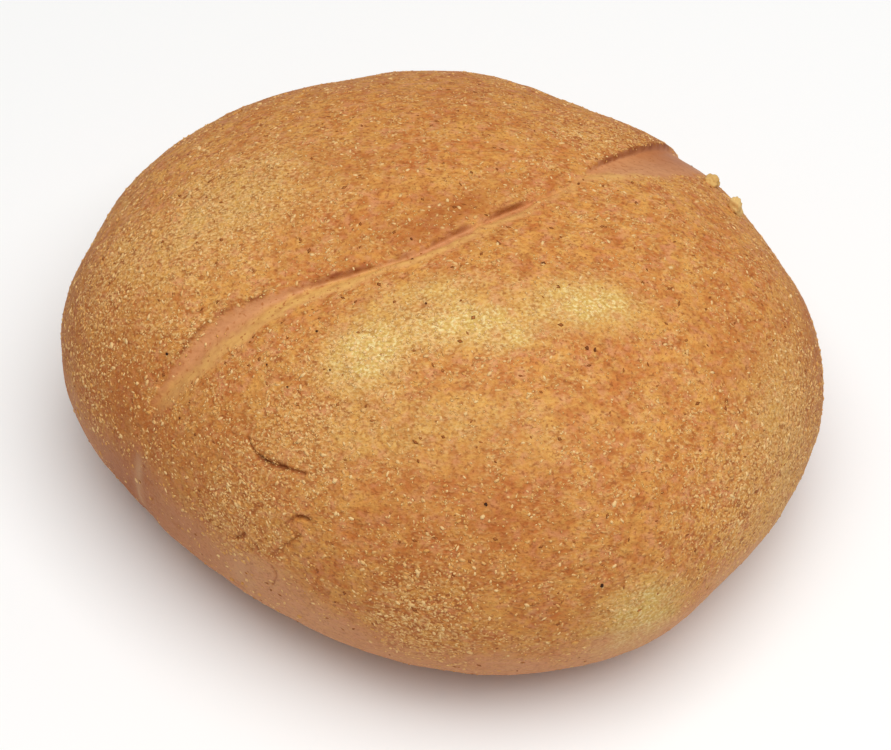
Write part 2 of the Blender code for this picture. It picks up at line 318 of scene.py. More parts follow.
# Scattered grains: how many of each kind, then their middle half-size in mm, its spread, and
# their thickness as a share of it. The finest real specks, of 0.1 or 0.2 mm, wouldn't show, so
# they are drawn at about 0.3 mm.
GRAIN_COUNT = 6500
GRAIN_SIZES = (0.25, 0.13, 0.5)
FINES_COUNT = 15000
FINES_SIZES = (0.16, 0.07, 0.3)
BRAN_COUNT = 700
BRAN_SIZES = (0.27, 0.12, 0.25)

# Grains are longer than wide, vary in every direction, and aren't smaller than the middle one by
# more than this share of the spread. Their corners are knocked in or out by a share of their
# size, and coarse ones are pressed in by a share of their thickness.
GRAIN_FORM = (1.35, 0.75)
GRAIN_SMALLEST = 0.7
GRAIN_VARIATION = (0.7, 1.3)
LUMP_VARIATION = (0.7, 1.2)
GRAIN_KNOCKED = 0.25
FLAKE_KNOCKED = 0.3
PRESSED_IN = (-0.1, 0.6)
SEED = 9010

# Tints are drawn as a random share to this power, so that more grains are dark than light
TINT_POWER = 1.7

# Mottling of the crust: name, size across in mm, how many times longer it is along X, and
# detail. Nothing is finer than 0.4 mm, because it wouldn't show.
MOTTLES_MM = (
    ("broad", 5.5, 1.0, 2.0),
    ("patchy", 2.2, 1.1, 3.0),
    ("tan", 1.0, 1.4, 2.0),
    ("gold", 0.8, 1.5, 2.0),
    ("rosy", 1.5, 1.2, 2.0),
    ("freckled", 0.55, 1.0, 1.0),
    ("sandy", 0.42, 1.2, 2.0),
    ("dusty", 0.4, 1.6, 1.0),
)

# The marks on the crust's points that its colours follow
MARKS = (
    "bare_dough", "yellow_dough", "side_band", "crease_shade_and_browning", "pale", "dark", "dusky", "floury", "dusting",
)

# The crust's colour, and the tones laid over it in turn: what each follows, from and to which
# value, how far it covers at most (a share, or a mark), and the tone
CRUST_COLOUR = "bb6b2e"
CRUST_LAYERS = (
    ("patchy", 0.42, 0.58, 1.0, "db9748"),
    ("broad", 0.49, 0.6, 0.6, "c56f33"),
    ("broad", 0.46, 0.36, 0.5, "e2a654"),
    ("pale", 0.0, 1.0, 0.9, "dfbd68"),
    ("side_band", 0.0, 1.0, 0.8, "da9f72"),
    ("tan", 0.46, 0.64, 0.5, "b57c3c"),
    ("gold", 0.46, 0.66, 0.45, "e4b05c"),
    ("rosy", 0.5, 0.68, 0.6, "da9468"),
    ("sandy", 0.48, 0.32, 0.55, "a45c26"),
    ("freckled", 0.57, 0.68, 0.6, "8f4a1c"),
    ("tan", 0.47, 0.35, "dusting", "a35f2b"),
    ("pale", 0.0, 1.0, 0.45, "d6b25c"),
    ("sandy", 0.5, 0.64, "pale", "edd698"),
    ("side_band", 0.0, 1.0, 0.5, "ce956e"),
    # The low left side: its own dusky tone, with painted shade
    ("dusky", 0.0, 1.0, 0.7, "9c6448"),
    ("floury", 0.0, 1.0, 0.8, "e2be92"),
    ("dusty", 0.5, 0.72, "dusting", "e9bb78"),
    ("bare_dough", 0.0, 1.0, 0.95, "d29463"),
    ("yellow_dough", 0.0, 1.0, 0.9, "e2ae60"),
    ("tan", 0.46, 1.05, "bare_dough", "a85f30"),
    ("freckled", 0.6, 0.7, "bare_dough", "b8713c"),
    # Painted shade on the rims and the low front, with darker baking near the slash
    ("dark", 0.0, 1.0, 0.6, "a4541c"),
    # Painted shade with some browned crust, under the lip and in the furrows
    ("crease_shade_and_browning", 0.0, 1.0, 1.0, "8a4216"),
)

# Dark scorched bits: place on the roll and radius
SCORCHED_MM = (
    ((14.9, -7.9, 51.1), 0.42),
    ((1.1, -11.8, 51.4), 0.22),
    ((-1.9, -15.4, 50.9), 0.24),
    ((6.5, -42.7, 39.9), 0.26),
    ((22.8, -49.0, 29.5), 0.26),
    ((20.9, -21.3, 48.3), 0.3),
    ((22.0, -21.4, 48.0), 0.28),
    ((29.8, 15.2, 45.0), 0.28),
    ((39.1, 28.1, 33.8), 0.3),
    ((-39.5, -14.7, 39.2), 0.2),
    ((-29.5, -18.5, 43.2), 0.2),
    ((-24.5, -21.4, 44.7), 0.2),
    ((-17.4, -18.0, 48.1), 0.2),
    ((-15.4, -24.2, 46.9), 0.18),
    ((-21.4, -25.3, 44.4), 0.18),
    ((-35.9, -22.4, 37.4), 0.2),
    ((-37.4, -23.6, 35.4), 0.2),
    ((-4.0, -3.3, 51.4), 0.24),
    ((-3.9, -6.6, 50.6), 0.24),
    ((20.6, 10.3, 48.7), 0.22),
)

# The largest semolina grains, which stand out one by one, given in the same way
LARGE_GRAINS_MM = (
    ((-14.6, -38.0, 39.1), 0.4),
    ((-30.4, -36.9, 14.4), 0.32),
    ((-28.7, -38.5, 15.6), 0.3),
    ((-26.2, -40.2, 15.2), 0.34),
    ((-20.2, -43.8, 14.8), 0.36),
)

# The colour sockets of a Mix node, which share their names with others
COLOUR_A, COLOUR_B, MIXED_COLOUR = 6, 7, 2

# Baked food is dry and dull: a low gloss over a rough crust and smoother dough
FOOD_IOR = 1.45
FOOD_GLOSS = 0.3
CRUST_ROUGHNESS = 0.72
DOUGH_ROUGHNESS = 0.55
CRUST_BUMP_MM = 0.3
DUST_BUMP_MM = 0.2
DOUGH_BUMP_SHARE = 0.15

# What sticks to the crust: darkest and lightest tint, and roughness. Coarse semolina gives the
# crust its bright gritty points, and fine semolina a cream bloom between them. Bran gives
# red-brown flecks, scorched flour the few near-black specks, and dry crumb rough yellow lumps.
GRAIN_LOOKS = {
    "coarse semolina": ("d2964e", "eac488", 0.7),
    "fine semolina": ("d8a25a", "eac284", 0.75),
    "baked wheat bran": ("94521f", "b06c34", 0.75),
    "scorched flour": ("34190a", "84481f", 0.85),
    "dry bread crumb": ("d2a55c", "ddb876", 0.8),
}

# The floor and the light, in metres
FLOOR_RADIUS = 4.0
FLOOR_SIDES = 64
FLOOR_COLOUR = "f8f8f7"
FLOOR_ROUGHNESS = 0.9
KEY_PLACE = (0.1, -0.14, 0.86)
KEY_SIZE = 0.9
KEY_POWER = 8.3
ROOM_COLOUR = "ffffff"
ROOM_STRENGTH = 0.27

# The photograph's view, in metres
CAMERA_TARGET = (0.00088, -0.00341, 0.0210)
CAMERA_ELEVATION_DEG = 50.0
CAMERA_DISTANCE = 0.452
CAMERA_LENS = 120.0


def between(four, along):
    """A smooth curve through four values in a row, this share of the way from second to third."""
    before, here, after, beyond = four
    bend = along ** 2 * (2 * before - 5 * here + 4 * after - beyond)
    twist = along ** 3 * (3 * here - before - 3 * after + beyond)
    return (2 * here + along * (after - before) + bend + twist) / 2


def smooth_path(points, steps):
    """A rounded curve through the points, as a fine run of points in mm."""
    knots = np.array([points[0], *points, points[-1]], dtype=float)
    run = []
    for index in range(1, len(knots) - 2):
        for along in np.arange(steps) / steps:
            run.append(between(knots[index - 1:index + 3], along))
    run.append(knots[-1])
    return np.array(run)


def along_and_across(points, path):
    """For plan points in mm: distance along the path, across it to the left, and that direction."""
    starts = path[:-1]
    edges = path[1:] - starts
    lengths = np.linalg.norm(edges, axis=1)
    left = np.column_stack((-edges[:, 1], edges[:, 0])) / lengths[:, None]
    travelled = np.concatenate(([0.0], np.cumsum(lengths)[:-1]))
    found = []
    for block in np.array_split(points, 1 + len(points) // POINTS_AT_ONCE):
        offset = block[:, None, :] - starts
        share = np.clip((offset * edges).sum(axis=2) / lengths ** 2, 0.0, 1.0)
        distance = np.linalg.norm(offset - share[:, :, None] * edges, axis=2)
        nearest = distance.argmin(axis=1)
        rows = np.arange(len(block))
        side = (offset[rows, nearest] * left[nearest]).sum(axis=1)
        along = travelled[nearest] + share[rows, nearest] * lengths[nearest]
        across = np.where(side >= 0.0, 1.0, -1.0) * distance[rows, nearest]
        found.append(np.column_stack((along, across, left[nearest])))
    found = np.vstack(found)
    return found[:, 0], found[:, 1], found[:, 2:]


def from_lip(points):
    """For plan points in mm: distance along the slash's lip, across it to the left, and that way."""
    return along_and_across(points, smooth_path(LIP_MM, LIP_STEPS))


def girth_radius(azimuth):
    """The roll's radius at its girth in mm, seen from above: a smooth curve through the radii."""
    count = len(GIRTH_MM)
    station = np.mod(np.degrees(azimuth), 360.0) * count / 360.0
    first = np.floor(station).astype(int)
    four = [np.take(GIRTH_MM, first + step, mode="wrap") for step in (-1, 0, 1, 2)]
    return between(four, station - first)


def squircle_reach(across, up, radius, height, squareness):
    """Distance from the centre to a superellipse along the direction (across, up)."""
    return ((across / radius) ** squareness + (up / height) ** squareness) ** (-1.0 / squareness)


def rounded_foot(height):
    """Heights with everything under the resting surface pressed flat on it, by way of a small curve."""
    curve = (height + FOOT_ROUNDING_MM) ** 2 / (4 * FOOT_ROUNDING_MM)
    above = np.where(height < FOOT_ROUNDING_MM, curve, height)
    return np.where(height < -FOOT_ROUNDING_MM, 0.0, above)


def dough_points(rays):
    """Where rays from the middle of the girth meet the smooth dough, in mm, with a flat foot."""
    across = np.hypot(rays[:, 0], rays[:, 1])
    up = np.abs(rays[:, 2])
    girth = girth_radius(np.arctan2(rays[:, 1], rays[:, 0]))
    crown = squircle_reach(across, up, girth, HEIGHT_MM - GIRTH_HEIGHT_MM, CROWN_SQUARENESS)
    foot = squircle_reach(across, up, girth, GIRTH_HEIGHT_MM + FOOT_SINK_MM, FOOT_SQUARENESS)
    points = rays * np.where(rays[:, 2] >= 0.0, crown, foot)[:, None]
    points[:, 2] = rounded_foot(points[:, 2] + GIRTH_HEIGHT_MM)
    return points


def rays_to(points):
    """Unit directions from the middle of the girth."""
    rays = points - np.array((0.0, 0.0, GIRTH_HEIGHT_MM))
    return rays / np.linalg.norm(rays, axis=1)[:, None]


def eased(share):
    """A share from 0 to 1 that sets off and arrives gently."""
    share = np.clip(share, 0.0, 1.0)
    return share * share * (3.0 - 2.0 * share)


def opening(along, column):
    """One measure of the slash's opening, this far along."""
    stations = np.array(OPENING_MM)
    return np.interp(along, stations[:, 0], stations[:, column])


def clear_lip(along, column):
    """How far the lip hangs over, or how dark the painted shade line under it is, this far along."""
    total = np.zeros(len(along))
    for span in CLEAR_LIP_MM:
        start, end, rise = span[:3]
        total += span[column] * eased((along - start) / rise) * eased((end - along) / LIP_END_MM)
    return total


def spots(points, places):
    """The sum of soft oval spots, each given by place, half-sizes, turn and height."""
    total = np.zeros(len(points))
    for centre_x, centre_y, half_length, half_width, turn, height in places:
        cos, sin = math.cos(math.radians(turn)), math.sin(math.radians(turn))
        x, y = points[:, 0] - centre_x, points[:, 1] - centre_y
        length = (x * cos + y * sin) / half_length
        width = (y * cos - x * sin) / half_width
        total = total + height * np.exp(-length ** 2 - width ** 2)
    return total


def unevenness(points, size, seed):
    """Smooth random hills of about this size in mm, from -1 to 1."""
    shift = Vector(SEED_SHIFT) * seed
    return np.array([noise.noise(Vector(point) / size + shift) for point in points])


def hills(points, name):
    """The random hills of this name, at every point."""
    size, height, seed = HILLS[name]
    return height * unevenness(points, size, seed)


def phase(distance, wave):
    """Where in a wave a distance is, in radians."""
    length, start = wave
    return distance / length + start


def swells(points):
    """Broad unevenness of the baked crown, in mm."""
    x, y = points[:, 0], points[:, 1]
    rise = WAVES_MM * np.sin(phase(x, WAVES_ALONG_X)) * np.cos(phase(y, WAVES_ALONG_Y))
    skew = SKEW_WAVES_MM * np.sin(phase(x + SKEW_LEAN * y, SKEW_WAVES))
    return rise + skew + spots(points, SWELLS_MM)


def wall_shares(along, across):
    """How far down the wall under the lip a point is, and how far up the bare dough beyond it."""
    width, wall = opening(along, WIDTH), opening(along, WALL)
    return eased(-across / wall), eased((-across - wall) / (width - wall))


def ends_faded(along):
    """A share that fades out at both ends of the slash."""
    first, last = FULL_SLASH_MM
    low_end = np.exp(-(np.maximum(0.0, first - along) / SLASH_FADE_MM) ** 2)
    return low_end * np.exp(-(np.maximum(0.0, along - last) / SLASH_FADE_MM) ** 2)


def slash_relief(along, across):
    """Height of the slash's lip, bare dough and trough against the smooth dough, in mm."""
    half_width, drop = 0.5 * opening(along, WIDTH), opening(along, DROP)
    fallen, regained = wall_shares(along, across)
    lip = LIP_SWELL * drop * np.exp(-np.maximum(across, 0.0) / LIP_ROLL_MM)
    trough = np.exp(-((across + half_width) / (half_width + TROUGH_SPREAD_MM)) ** 2)
    valley = VALLEY_MM * np.exp(-(across / VALLEY_HALF_MM) ** 2)
    rise = lip * (1.0 - fallen) - drop * fallen * (1.0 - regained)
    return (rise - opening(along, TROUGH) * trough - valley) * ends_faded(along)


def distance_to(points, route):
    """Shortest distance in mm from points on the dough to a route that is laid on it."""
    route = dough_points(rays_to(smooth_path(route, FURROW_STEPS)))
    nearest = np.full(len(points), np.inf)
    for start, end in zip(route[:-1], route[1:]):
        edge = end - start
        share = np.clip((points - start) @ edge / (edge @ edge), 0.0, 1.0)
        gap = points - start - share[:, None] * edge
        nearest = np.minimum(nearest, np.linalg.norm(gap, axis=1))
    return nearest


def furrow_shares(points):
    """How deep in each furrow a point on the dough is, as a share of 1."""
    shares = []
    for route, half_width, _, _ in FURROWS_MM:
        shares.append(np.exp(-(distance_to(points, route) / half_width) ** 2))
    return np.array(shares)


def crust_relief(points):
    """All that lifts or sinks the crust against the smooth dough, in mm, fading out near the foot."""
    along, across, _ = from_lip(points[:, :2])
    depths = np.array([depth for _, _, depth, _ in FURROWS_MM])
    rise = swells(points) + slash_relief(along, across) - depths @ furrow_shares(points)
    return rise * eased((points[:, 2] - RELIEF_FROM_MM) / RELIEF_RISE_MM)


def coordinates(mesh):
    """The points of a bmesh in mm."""
    return np.array([vert.co for vert in mesh.verts]) / MM


def place(mesh, points):
    """Move the points of a bmesh to these, in mm."""
    for vert, point in zip(mesh.verts, points):
        vert.co = point * MM
    mesh.normal_update()


def mesh_points(mesh):
    """The points of a finished mesh in mm."""
    points = np.empty(len(mesh.vertices) * 3)
    mesh.vertices.foreach_get("co", points)
    return points.reshape(-1, 3) / MM


def finished_mesh(shape, name):
    """A mesh made from a bmesh, which is freed."""
    mesh = bpy.data.meshes.new(name)
    shape.to_mesh(mesh)
    shape.free()
    return mesh


def grid_ball():
    """A cube with its sides cut into a grid and blown up to the dough: even faces and no poles."""
    ball = bmesh.new()
    bmesh.ops.create_cube(ball, size=2.0)
    bmesh.ops.subdivide_edges(ball, edges=ball.edges[:], cuts=GRID_CUTS, use_grid_fill=True)
    rays = np.tan(np.array([vert.co for vert in ball.verts]) * math.pi / 4)
    rays /= np.linalg.norm(rays, axis=1)[:, None]
    rays[:, 2] *= np.where(rays[:, 2] > 0.0, CROWN_SPREAD, FOOT_SPREAD)
    place(ball, dough_points(rays / np.linalg.norm(rays, axis=1)[:, None]))
    return ball


def refine(ball, lowest, highest, furrow_reach):
    """Cut the faces finer between these distances across the slash, and this near to a furrow."""
    ball.faces.ensure_lookup_table()
    middles = np.array([face.calc_center_median() for face in ball.faces]) / MM
    across = from_lip(middles[:, :2])[1]
    near = (across > lowest) & (across < highest) & (middles[:, 2] > FINE_ABOVE_MM)
    for route, _, _, _ in FURROWS_MM:
        near |= distance_to(middles, route) < furrow_reach
    edges = {edge for index in np.nonzero(near)[0] for edge in ball.faces[index].edges}
    bmesh.ops.subdivide_edges(ball, edges=list(edges), cuts=1, use_grid_fill=True)


def gap_to_wall(points, share):
    """Plan distance to a line that runs down the wall under the lip: 0 at its top, 1 at its foot."""
    along, across, _ = from_lip(points)
    return across + share * opening(along, WALL)


def on_wall(points, share):
    """Points slid over the dough until they lie on that line."""
    for _ in range(SLIDE_TIMES):
        gap = gap_to_wall(points[:, :2], share)
        slope = np.zeros((len(points), 2))
        for axis in (0, 1):
            moved = points[:, :2].copy()
            moved[:, axis] += SLIDE_PROBE_MM
            slope[:, axis] = (gap_to_wall(moved, share) - gap) / SLIDE_PROBE_MM
        points[:, :2] -= gap[:, None] * slope
        points = dough_points(rays_to(points))
    return points


def score(ball, share):
    """Cut the crown so that a chain of edges runs along the wall under the lip."""
    points = coordinates(ball)
    gap = gap_to_wall(points[:, :2], share)
    crown = (points[:, 2] > CUT_ABOVE_MM) & (np.abs(gap) < CUT_REACH_MM)
    gap[crown & (np.abs(gap) < SNAP_MM)] = 0.0
    ball.verts.ensure_lookup_table()
    chain = [ball.verts[index] for index in np.nonzero(crown & (gap == 0.0))[0]]
    for edge in list(ball.edges):
        one, other = edge.verts[0].index, edge.verts[1].index
        if crown[one] and crown[other] and gap[one] * gap[other] < 0.0:
            split = gap[one] / (gap[one] - gap[other])
            chain.append(bmesh.utils.edge_split(edge, edge.verts[0], split)[1])
    bmesh.ops.connect_verts(ball, verts=chain)
    ball.verts.index_update()
    members = [vert.index for vert in chain]
    points = dough_points(rays_to(coordinates(ball)))
    points[members] = on_wall(points[members], share)
    place(ball, points)


def skin_relief(points, bareness):
    """The skin's own small unevenness and pits, in mm, calmer on bare dough and none under the foot."""
    rise = np.zeros(len(points))
    for order, (size, height) in enumerate(SKIN_MM):
        rise += height * unevenness(points, size, order + 1)
    pits = eased((hills(points, "pits") - PIT_FROM) / PIT_RISE)
    rise = rise * (1.0 - CALM_DOUGH * bareness) - PIT_DEPTH_MM * pits * (1.0 - bareness)
    return rise * eased(points[:, 2] / SKIN_FROM_FLOOR_MM)


def bare_dough(points, along, across):
    """How bare of dusting the slash is: a crisp uneven edge at the lip and a soft one beyond."""
    half_wall = 0.5 * opening(along, WALL)
    lip_edge = eased((-across + hills(points, "ragged_lip")) / half_wall)
    width = opening(along, WIDTH) + hills(points, "wavy_dough") + hills(points, "ragged_dough")
    far_edge = 1.0 - eased((-across - width) / DOUGH_FADE_MM)
    return lip_edge * far_edge * opening(along, BARENESS)


def side_band(points):
    """How bare of dusting the lower side is: 1 below the edge of the dusting."""
    turn = np.degrees(np.arctan2(points[:, 1], points[:, 0]))
    stations = np.arange(len(DUST_EDGE_MM)) * 360.0 / len(DUST_EDGE_MM)
    edge = np.interp(turn, stations, DUST_EDGE_MM, period=360.0)
    edge = edge + hills(points, "broad_band") + hills(points, "fine_band")
    return 1.0 - eased((points[:, 2] - edge) / DUST_FADE_MM + 0.5)


def shade_under_lip(points, along, across):
    """How dark the painted shade line under the lip is, with some browned crust: broken, softer on the lip,
    and only where the lip stands clear.
    """
    broken = LINE_STRENGTH + hills(points, "broken_line")
    aside = across + LINE_BEYOND_MM + hills(points, "wavering_line")
    line = np.exp(-(aside / np.where(aside > 0.0, LINE_HALF_ON_LIP_MM, LINE_HALF_MM)) ** 2)
    return line * np.clip(broken, LINE_FAINTEST, 1.0) * clear_lip(along, LINE_SHADE)


def crust_marks(points, along, across, bareness, furrows):
    """What the crust's colours depend on, at every point, as shares of 1."""
    band = side_band(points)
    pale = np.clip(spots(points, PALE_MM) * (1.0 + hills(points, "pale_edges")), 0.0, 1.0)
    streaky = 1.0 + hills(points * STREAK_STRETCH, "streaks")
    rubbed = spots(points, FLOURY_MM) * eased((points[:, 2] - FLOUR_FROM_MM) / FLOUR_RISE_MM)
    patchy = hills(points, "broad_yellow") + hills(points, "small_yellow")
    beyond_pink = -across / opening(along, WIDTH) - opening(along, PINKNESS)
    yellow = eased(beyond_pink / YELLOW_FADE + patchy)
    clumps = hills(points, "broad_clumps") + hills(points, "small_clumps")
    thick = THIN_DUST + spots(points, THICK_DUST_MM) + clumps
    return {
        "bare_dough": bareness,
        "yellow_dough": yellow * bareness,
        "side_band": band,
        # Painted shade with some browned crust, under the lip and in the furrows
        "crease_shade_and_browning": np.maximum(shade_under_lip(points, along, across), furrows),
        "pale": pale * (1.0 - bareness),
        # Darker baking near the slash, and painted shade on the rims and the low front
        "dark": np.clip(spots(points, DARK_BAKE_AND_SHADE_MM), 0.0, 1.0),
        # The low left side: its own dusky tone, with painted shade
        "dusky": np.clip(spots(points, DUSKY_MM) * streaky, 0.0, 1.0) * band,
        "floury": np.clip(rubbed * streaky, 0.0, 1.0) * band,
        "dusting": np.clip(thick, *DUST_LIMITS) * (1.0 - bareness) * (1.0 - FEWER_ON_SIDE * band),
    }


def add_marks(mesh, marks):
    """Store the marks on the mesh's points, for the material to read."""
    for name, shares in marks.items():
        attribute = mesh.attributes.new(name, "FLOAT", "POINT")
        attribute.data.foreach_set("value", np.asarray(shares, dtype=np.float32))


def cut_ball():
    """The dough cut finer along the slash and the furrows, with edges along the wall under the lip."""
    ball = grid_ball()
    for lowest, highest, furrow_reach in FINE_BANDS_MM:
        refine(ball, lowest, highest, furrow_reach)
    bmesh.ops.triangulate(ball, faces=[face for face in ball.faces if len(face.verts) > 4])
    for share in (0.0, 1.0):
        score(ball, share)
    return ball


def lip_tuck(along, across):
    """How far the dough is tucked in under an overhanging lip, in mm."""
    fallen, _ = wall_shares(along, across)
    beyond = np.maximum(0.0, -across - opening(along, WALL))
    return clear_lip(along, OVERHANG) * fallen * np.exp(-beyond / TUCK_FADE_MM) * ends_faded(along)


def crust_mesh():
    """The sculpted crust, with its marks."""
    ball = cut_ball()
    points = coordinates(ball)
    normals = np.array([vert.normal for vert in ball.verts])
    along, across, left = from_lip(points[:, :2])
    bareness = bare_dough(points, along, across)
    shaped = points + normals * (crust_relief(points) + skin_relief(points, bareness))[:, None]
    shaped[:, :2] += lip_tuck(along, across)[:, None] * left
    shaped = shaped - MIDDLE_MM
    place(ball, shaped)
    bmesh.ops.triangulate(ball, faces=ball.faces[:])
    bmesh.ops.recalc_face_normals(ball, faces=ball.faces[:])
    mesh = finished_mesh(ball, "sculpted_crust")
    mesh.shade_smooth()
    # How dark each furrow is painted: shade in the crease, with some browning
    furrow_shade = np.array([dark for _, _, _, dark in FURROWS_MM])
    furrows = (furrow_shares(points) * furrow_shade[:, None]).max(axis=0)
    add_marks(mesh, crust_marks(shaped, along, across, bareness, furrows))
    return mesh


def add_object(name, data):
    """A new object in the scene."""
    added = bpy.data.objects.new(name, data)
    bpy.context.scene.collection.objects.link(added)
    return added


def new_piece(name, mesh, material):
    """A piece of the roll that rides on it, in the material that it is given."""
    mesh.materials.append(material)
    piece = add_object(name, mesh)
    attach(piece, BODY)
    return piece


def template(subdivisions):
    """Points and triangles of a small ball of radius 1."""
    ball = bmesh.new()
    bmesh.ops.create_icosphere(ball, subdivisions=subdivisions, radius=1.0)
    points = np.array([vert.co for vert in ball.verts])
    faces = np.array([[vert.index for vert in face.verts] for face in ball.faces])
    ball.free()
    return points, faces


def flake():
    """Points and triangles of a flat eight-sided flake of radius 1."""
    points = np.array(((1, 0, 0), (0, 1, 0), (-1, 0, 0), (0, -1, 0), (0, 0, 1), (0, 0, -1)), dtype=float)
    ring = range(4)
    top = [(step, (step + 1) % 4, 4) for step in ring]
    bottom = [((step + 1) % 4, step, 5) for step in ring]
    return points, np.array(top + bottom)


def turned(draws, count):
    """Random turns in space, as matrices."""
    four = draws.normal(size=(4, count))
    w, x, y, z = four / np.linalg.norm(four, axis=0)
    return np.array((
        (1 - 2 * (y * y + z * z), 2 * (x * y - z * w), 2 * (x * z + y * w)),
        (2 * (x * y + z * w), 1 - 2 * (x * x + z * z), 2 * (y * z - x * w)),
        (2 * (x * z - y * w), 2 * (y * z + x * w), 1 - 2 * (x * x + y * y)),
    )).transpose(2, 0, 1)


def lying(draws, normals):
    """Random turns that keep each flake flat on the crust, as matrices."""
    aside = np.cross(normals, draws.normal(size=normals.shape))
    aside /= np.linalg.norm(aside, axis=1)[:, None]
    return np.stack((aside, np.cross(normals, aside), normals), axis=2)


def scattered_places(mesh, weight, count, draws):
    """Random places on the mesh in mm with the way out there, more of them where the weight is high."""
    mesh.calc_loop_triangles()
    corners = np.array([triangle.vertices for triangle in mesh.loop_triangles])
    points = mesh_points(mesh)
    weight = weight * (points[:, 2] > CLEAN_FOOT_MM)
    one, two, three = (points[corners[:, step]] for step in range(3))
    out = np.cross(two - one, three - one)
    area = np.linalg.norm(out, axis=1)
    chance = np.cumsum(area * weight[corners].mean(axis=1))
    picked = np.searchsorted(chance, draws.random(count) * chance[-1])
    shares = draws.random((2, count))
    u, v = np.where(shares.sum(axis=0) > 1.0, 1.0 - shares, shares)[:, :, None]
    places = one[picked] * (1.0 - u - v) + two[picked] * u + three[picked] * v
    return places, out[picked] / area[picked][:, None]


def joined_mesh(name, form, places, turns, sizes, draws, knocked):
    """One mesh of many copies of a small form, each with its own sizes, turn and knocked corners.

    Each copy gets a tint, which is at its lightest where the crust is paler.
    """
    points, faces = form
    copies = points[None] * (1.0 + knocked * draws.uniform(-1.0, 1.0, (len(places), len(points), 1)))
    copies = np.einsum("nij,npj->npi", turns, copies * sizes[:, None, :]) + places[:, None, :]
    corners = faces[None] + np.arange(len(places))[:, None, None] * len(points)
    mesh = bpy.data.meshes.new(name)
    mesh.vertices.add(copies.size // 3)
    mesh.vertices.foreach_set("co", (copies * MM).ravel())
    mesh.loops.add(corners.size)
    mesh.loops.foreach_set("vertex_index", corners.ravel())
    mesh.polygons.add(corners.size // 3)
    mesh.polygons.foreach_set("loop_start", np.arange(0, corners.size, 3))
    mesh.update(calc_edges=True)
    on_pale = np.clip(spots(places, PALE_MM), 0.0, 1.0)
    tint = np.maximum(draws.random(len(places)) ** TINT_POWER, on_pale)
    add_marks(mesh, {"tint": np.repeat(tint, len(points))})
    return mesh


def random_sizes(draws, count, middle, spread, thickness):
    """Half-sizes of grains in mm, round about the middle one."""
    lowest, highest = middle - GRAIN_SMALLEST * spread, middle + spread
    size = np.clip(draws.normal(middle, spread / 2, count), lowest, highest)
    form = np.array((*GRAIN_FORM, thickness))
    return size[:, None] * draws.uniform(*GRAIN_VARIATION, (count, 3)) * form


def semolina_mesh(crust, weight, draws):
    """Coarse semolina: angular grains pressed into the dough before it was baked."""
    places, out = scattered_places(crust, weight, GRAIN_COUNT, draws)
    sizes = random_sizes(draws, GRAIN_COUNT, *GRAIN_SIZES)
    places = places - out * (sizes[:, 2] * draws.uniform(*PRESSED_IN, GRAIN_COUNT))[:, None]
    turns = lying(draws, out)
    form = template(subdivisions=1)
    return joined_mesh("semolina", form, places, turns, sizes, draws, GRAIN_KNOCKED)


def fines_mesh(crust, weight, draws):
    """The finest semolina, as flat specks between the coarse grains."""
    places, out = scattered_places(crust, weight, FINES_COUNT, draws)
    sizes = random_sizes(draws, FINES_COUNT, *FINES_SIZES)
    turns = lying(draws, out)
    return joined_mesh("semolina_fines", flake(), places, turns, sizes, draws, GRAIN_KNOCKED)


def bran_mesh(crust, weight, draws):
    """Flakes of bran baked into the skin."""
    places, out = scattered_places(crust, weight, BRAN_COUNT, draws)
    sizes = random_sizes(draws, BRAN_COUNT, *BRAN_SIZES)
    turns = lying(draws, out)
    return joined_mesh("bran_flakes", flake(), places, turns, sizes, draws, FLAKE_KNOCKED)


def placed_mesh(name, places, draws):
    """Lumps put down one by one: the largest grains, and the scorched bits that stand out dark."""
    middles = np.array([spot for spot, _ in places])
    radii = np.array([radius for _, radius in places])
    sizes = radii[:, None] * draws.uniform(*LUMP_VARIATION, (len(places), 3))
    turns = turned(draws, len(places))
    form = template(subdivisions=2)
    return joined_mesh(name, form, middles, turns, sizes, draws, FLAKE_KNOCKED)


def crumb_mesh(draws):
    """The two crumbs beside the far end of the slash."""
    rays = rays_to(np.array([spot for spot, _ in CRUMBS_MM]))
    sizes = np.array([size for _, size in CRUMBS_MM])
    on_dough = dough_points(rays)
    seats = on_dough + (crust_relief(on_dough) + CRUMB_LIFT_MM)[:, None] * rays - MIDDLE_MM
    upright = np.repeat(np.eye(3)[None], len(seats), axis=0)
    form = template(subdivisions=4)
    mesh = joined_mesh("crumbs", form, seats, upright, sizes, draws, knocked=0.0)
    points = mesh_points(mesh)
    away = points - np.repeat(seats, len(form[0]), axis=0)
    lumps = hills(points, "crumb_lumps") + hills(points, "crumb_grain")
    mesh.vertices.foreach_set("co", ((points + away * lumps[:, None]) * MM).ravel())
    mesh.update()
    return mesh


def paint(hex_value):
    """A colour in linear light from its sRGB hex value."""
    channels = [int(hex_value[start:start + 2], 16) / 255 for start in (0, 2, 4)]
    linear = [c / 12.92 if c <= 0.04045 else ((c + 0.055) / 1.055) ** 2.4 for c in channels]
    return (*linear, 1.0)


def add_node(tree, kind, settings, inputs):
    """A node with its settings, and its inputs set to values or linked from other sockets."""
    node = tree.nodes.new(kind)
    for name, value in settings.items():
        setattr(node, name, value)
    for name, value in inputs.items():
        if isinstance(value, bpy.types.NodeSocket):
            tree.links.new(value, node.inputs[name])
        else:
            node.inputs[name].default_value = value
    return node


def new_material(name, roughness):
    """A material with its shader, to be finished by the caller."""
    material = bpy.data.materials.new(name)
    material.use_nodes = True
    shader = material.node_tree.nodes["Principled BSDF"]
    shader.inputs["Roughness"].default_value = roughness
    shader.inputs["IOR"].default_value = FOOD_IOR
    shader.inputs["Specular IOR Level"].default_value = FOOD_GLOSS
    return material, material.node_tree, shader


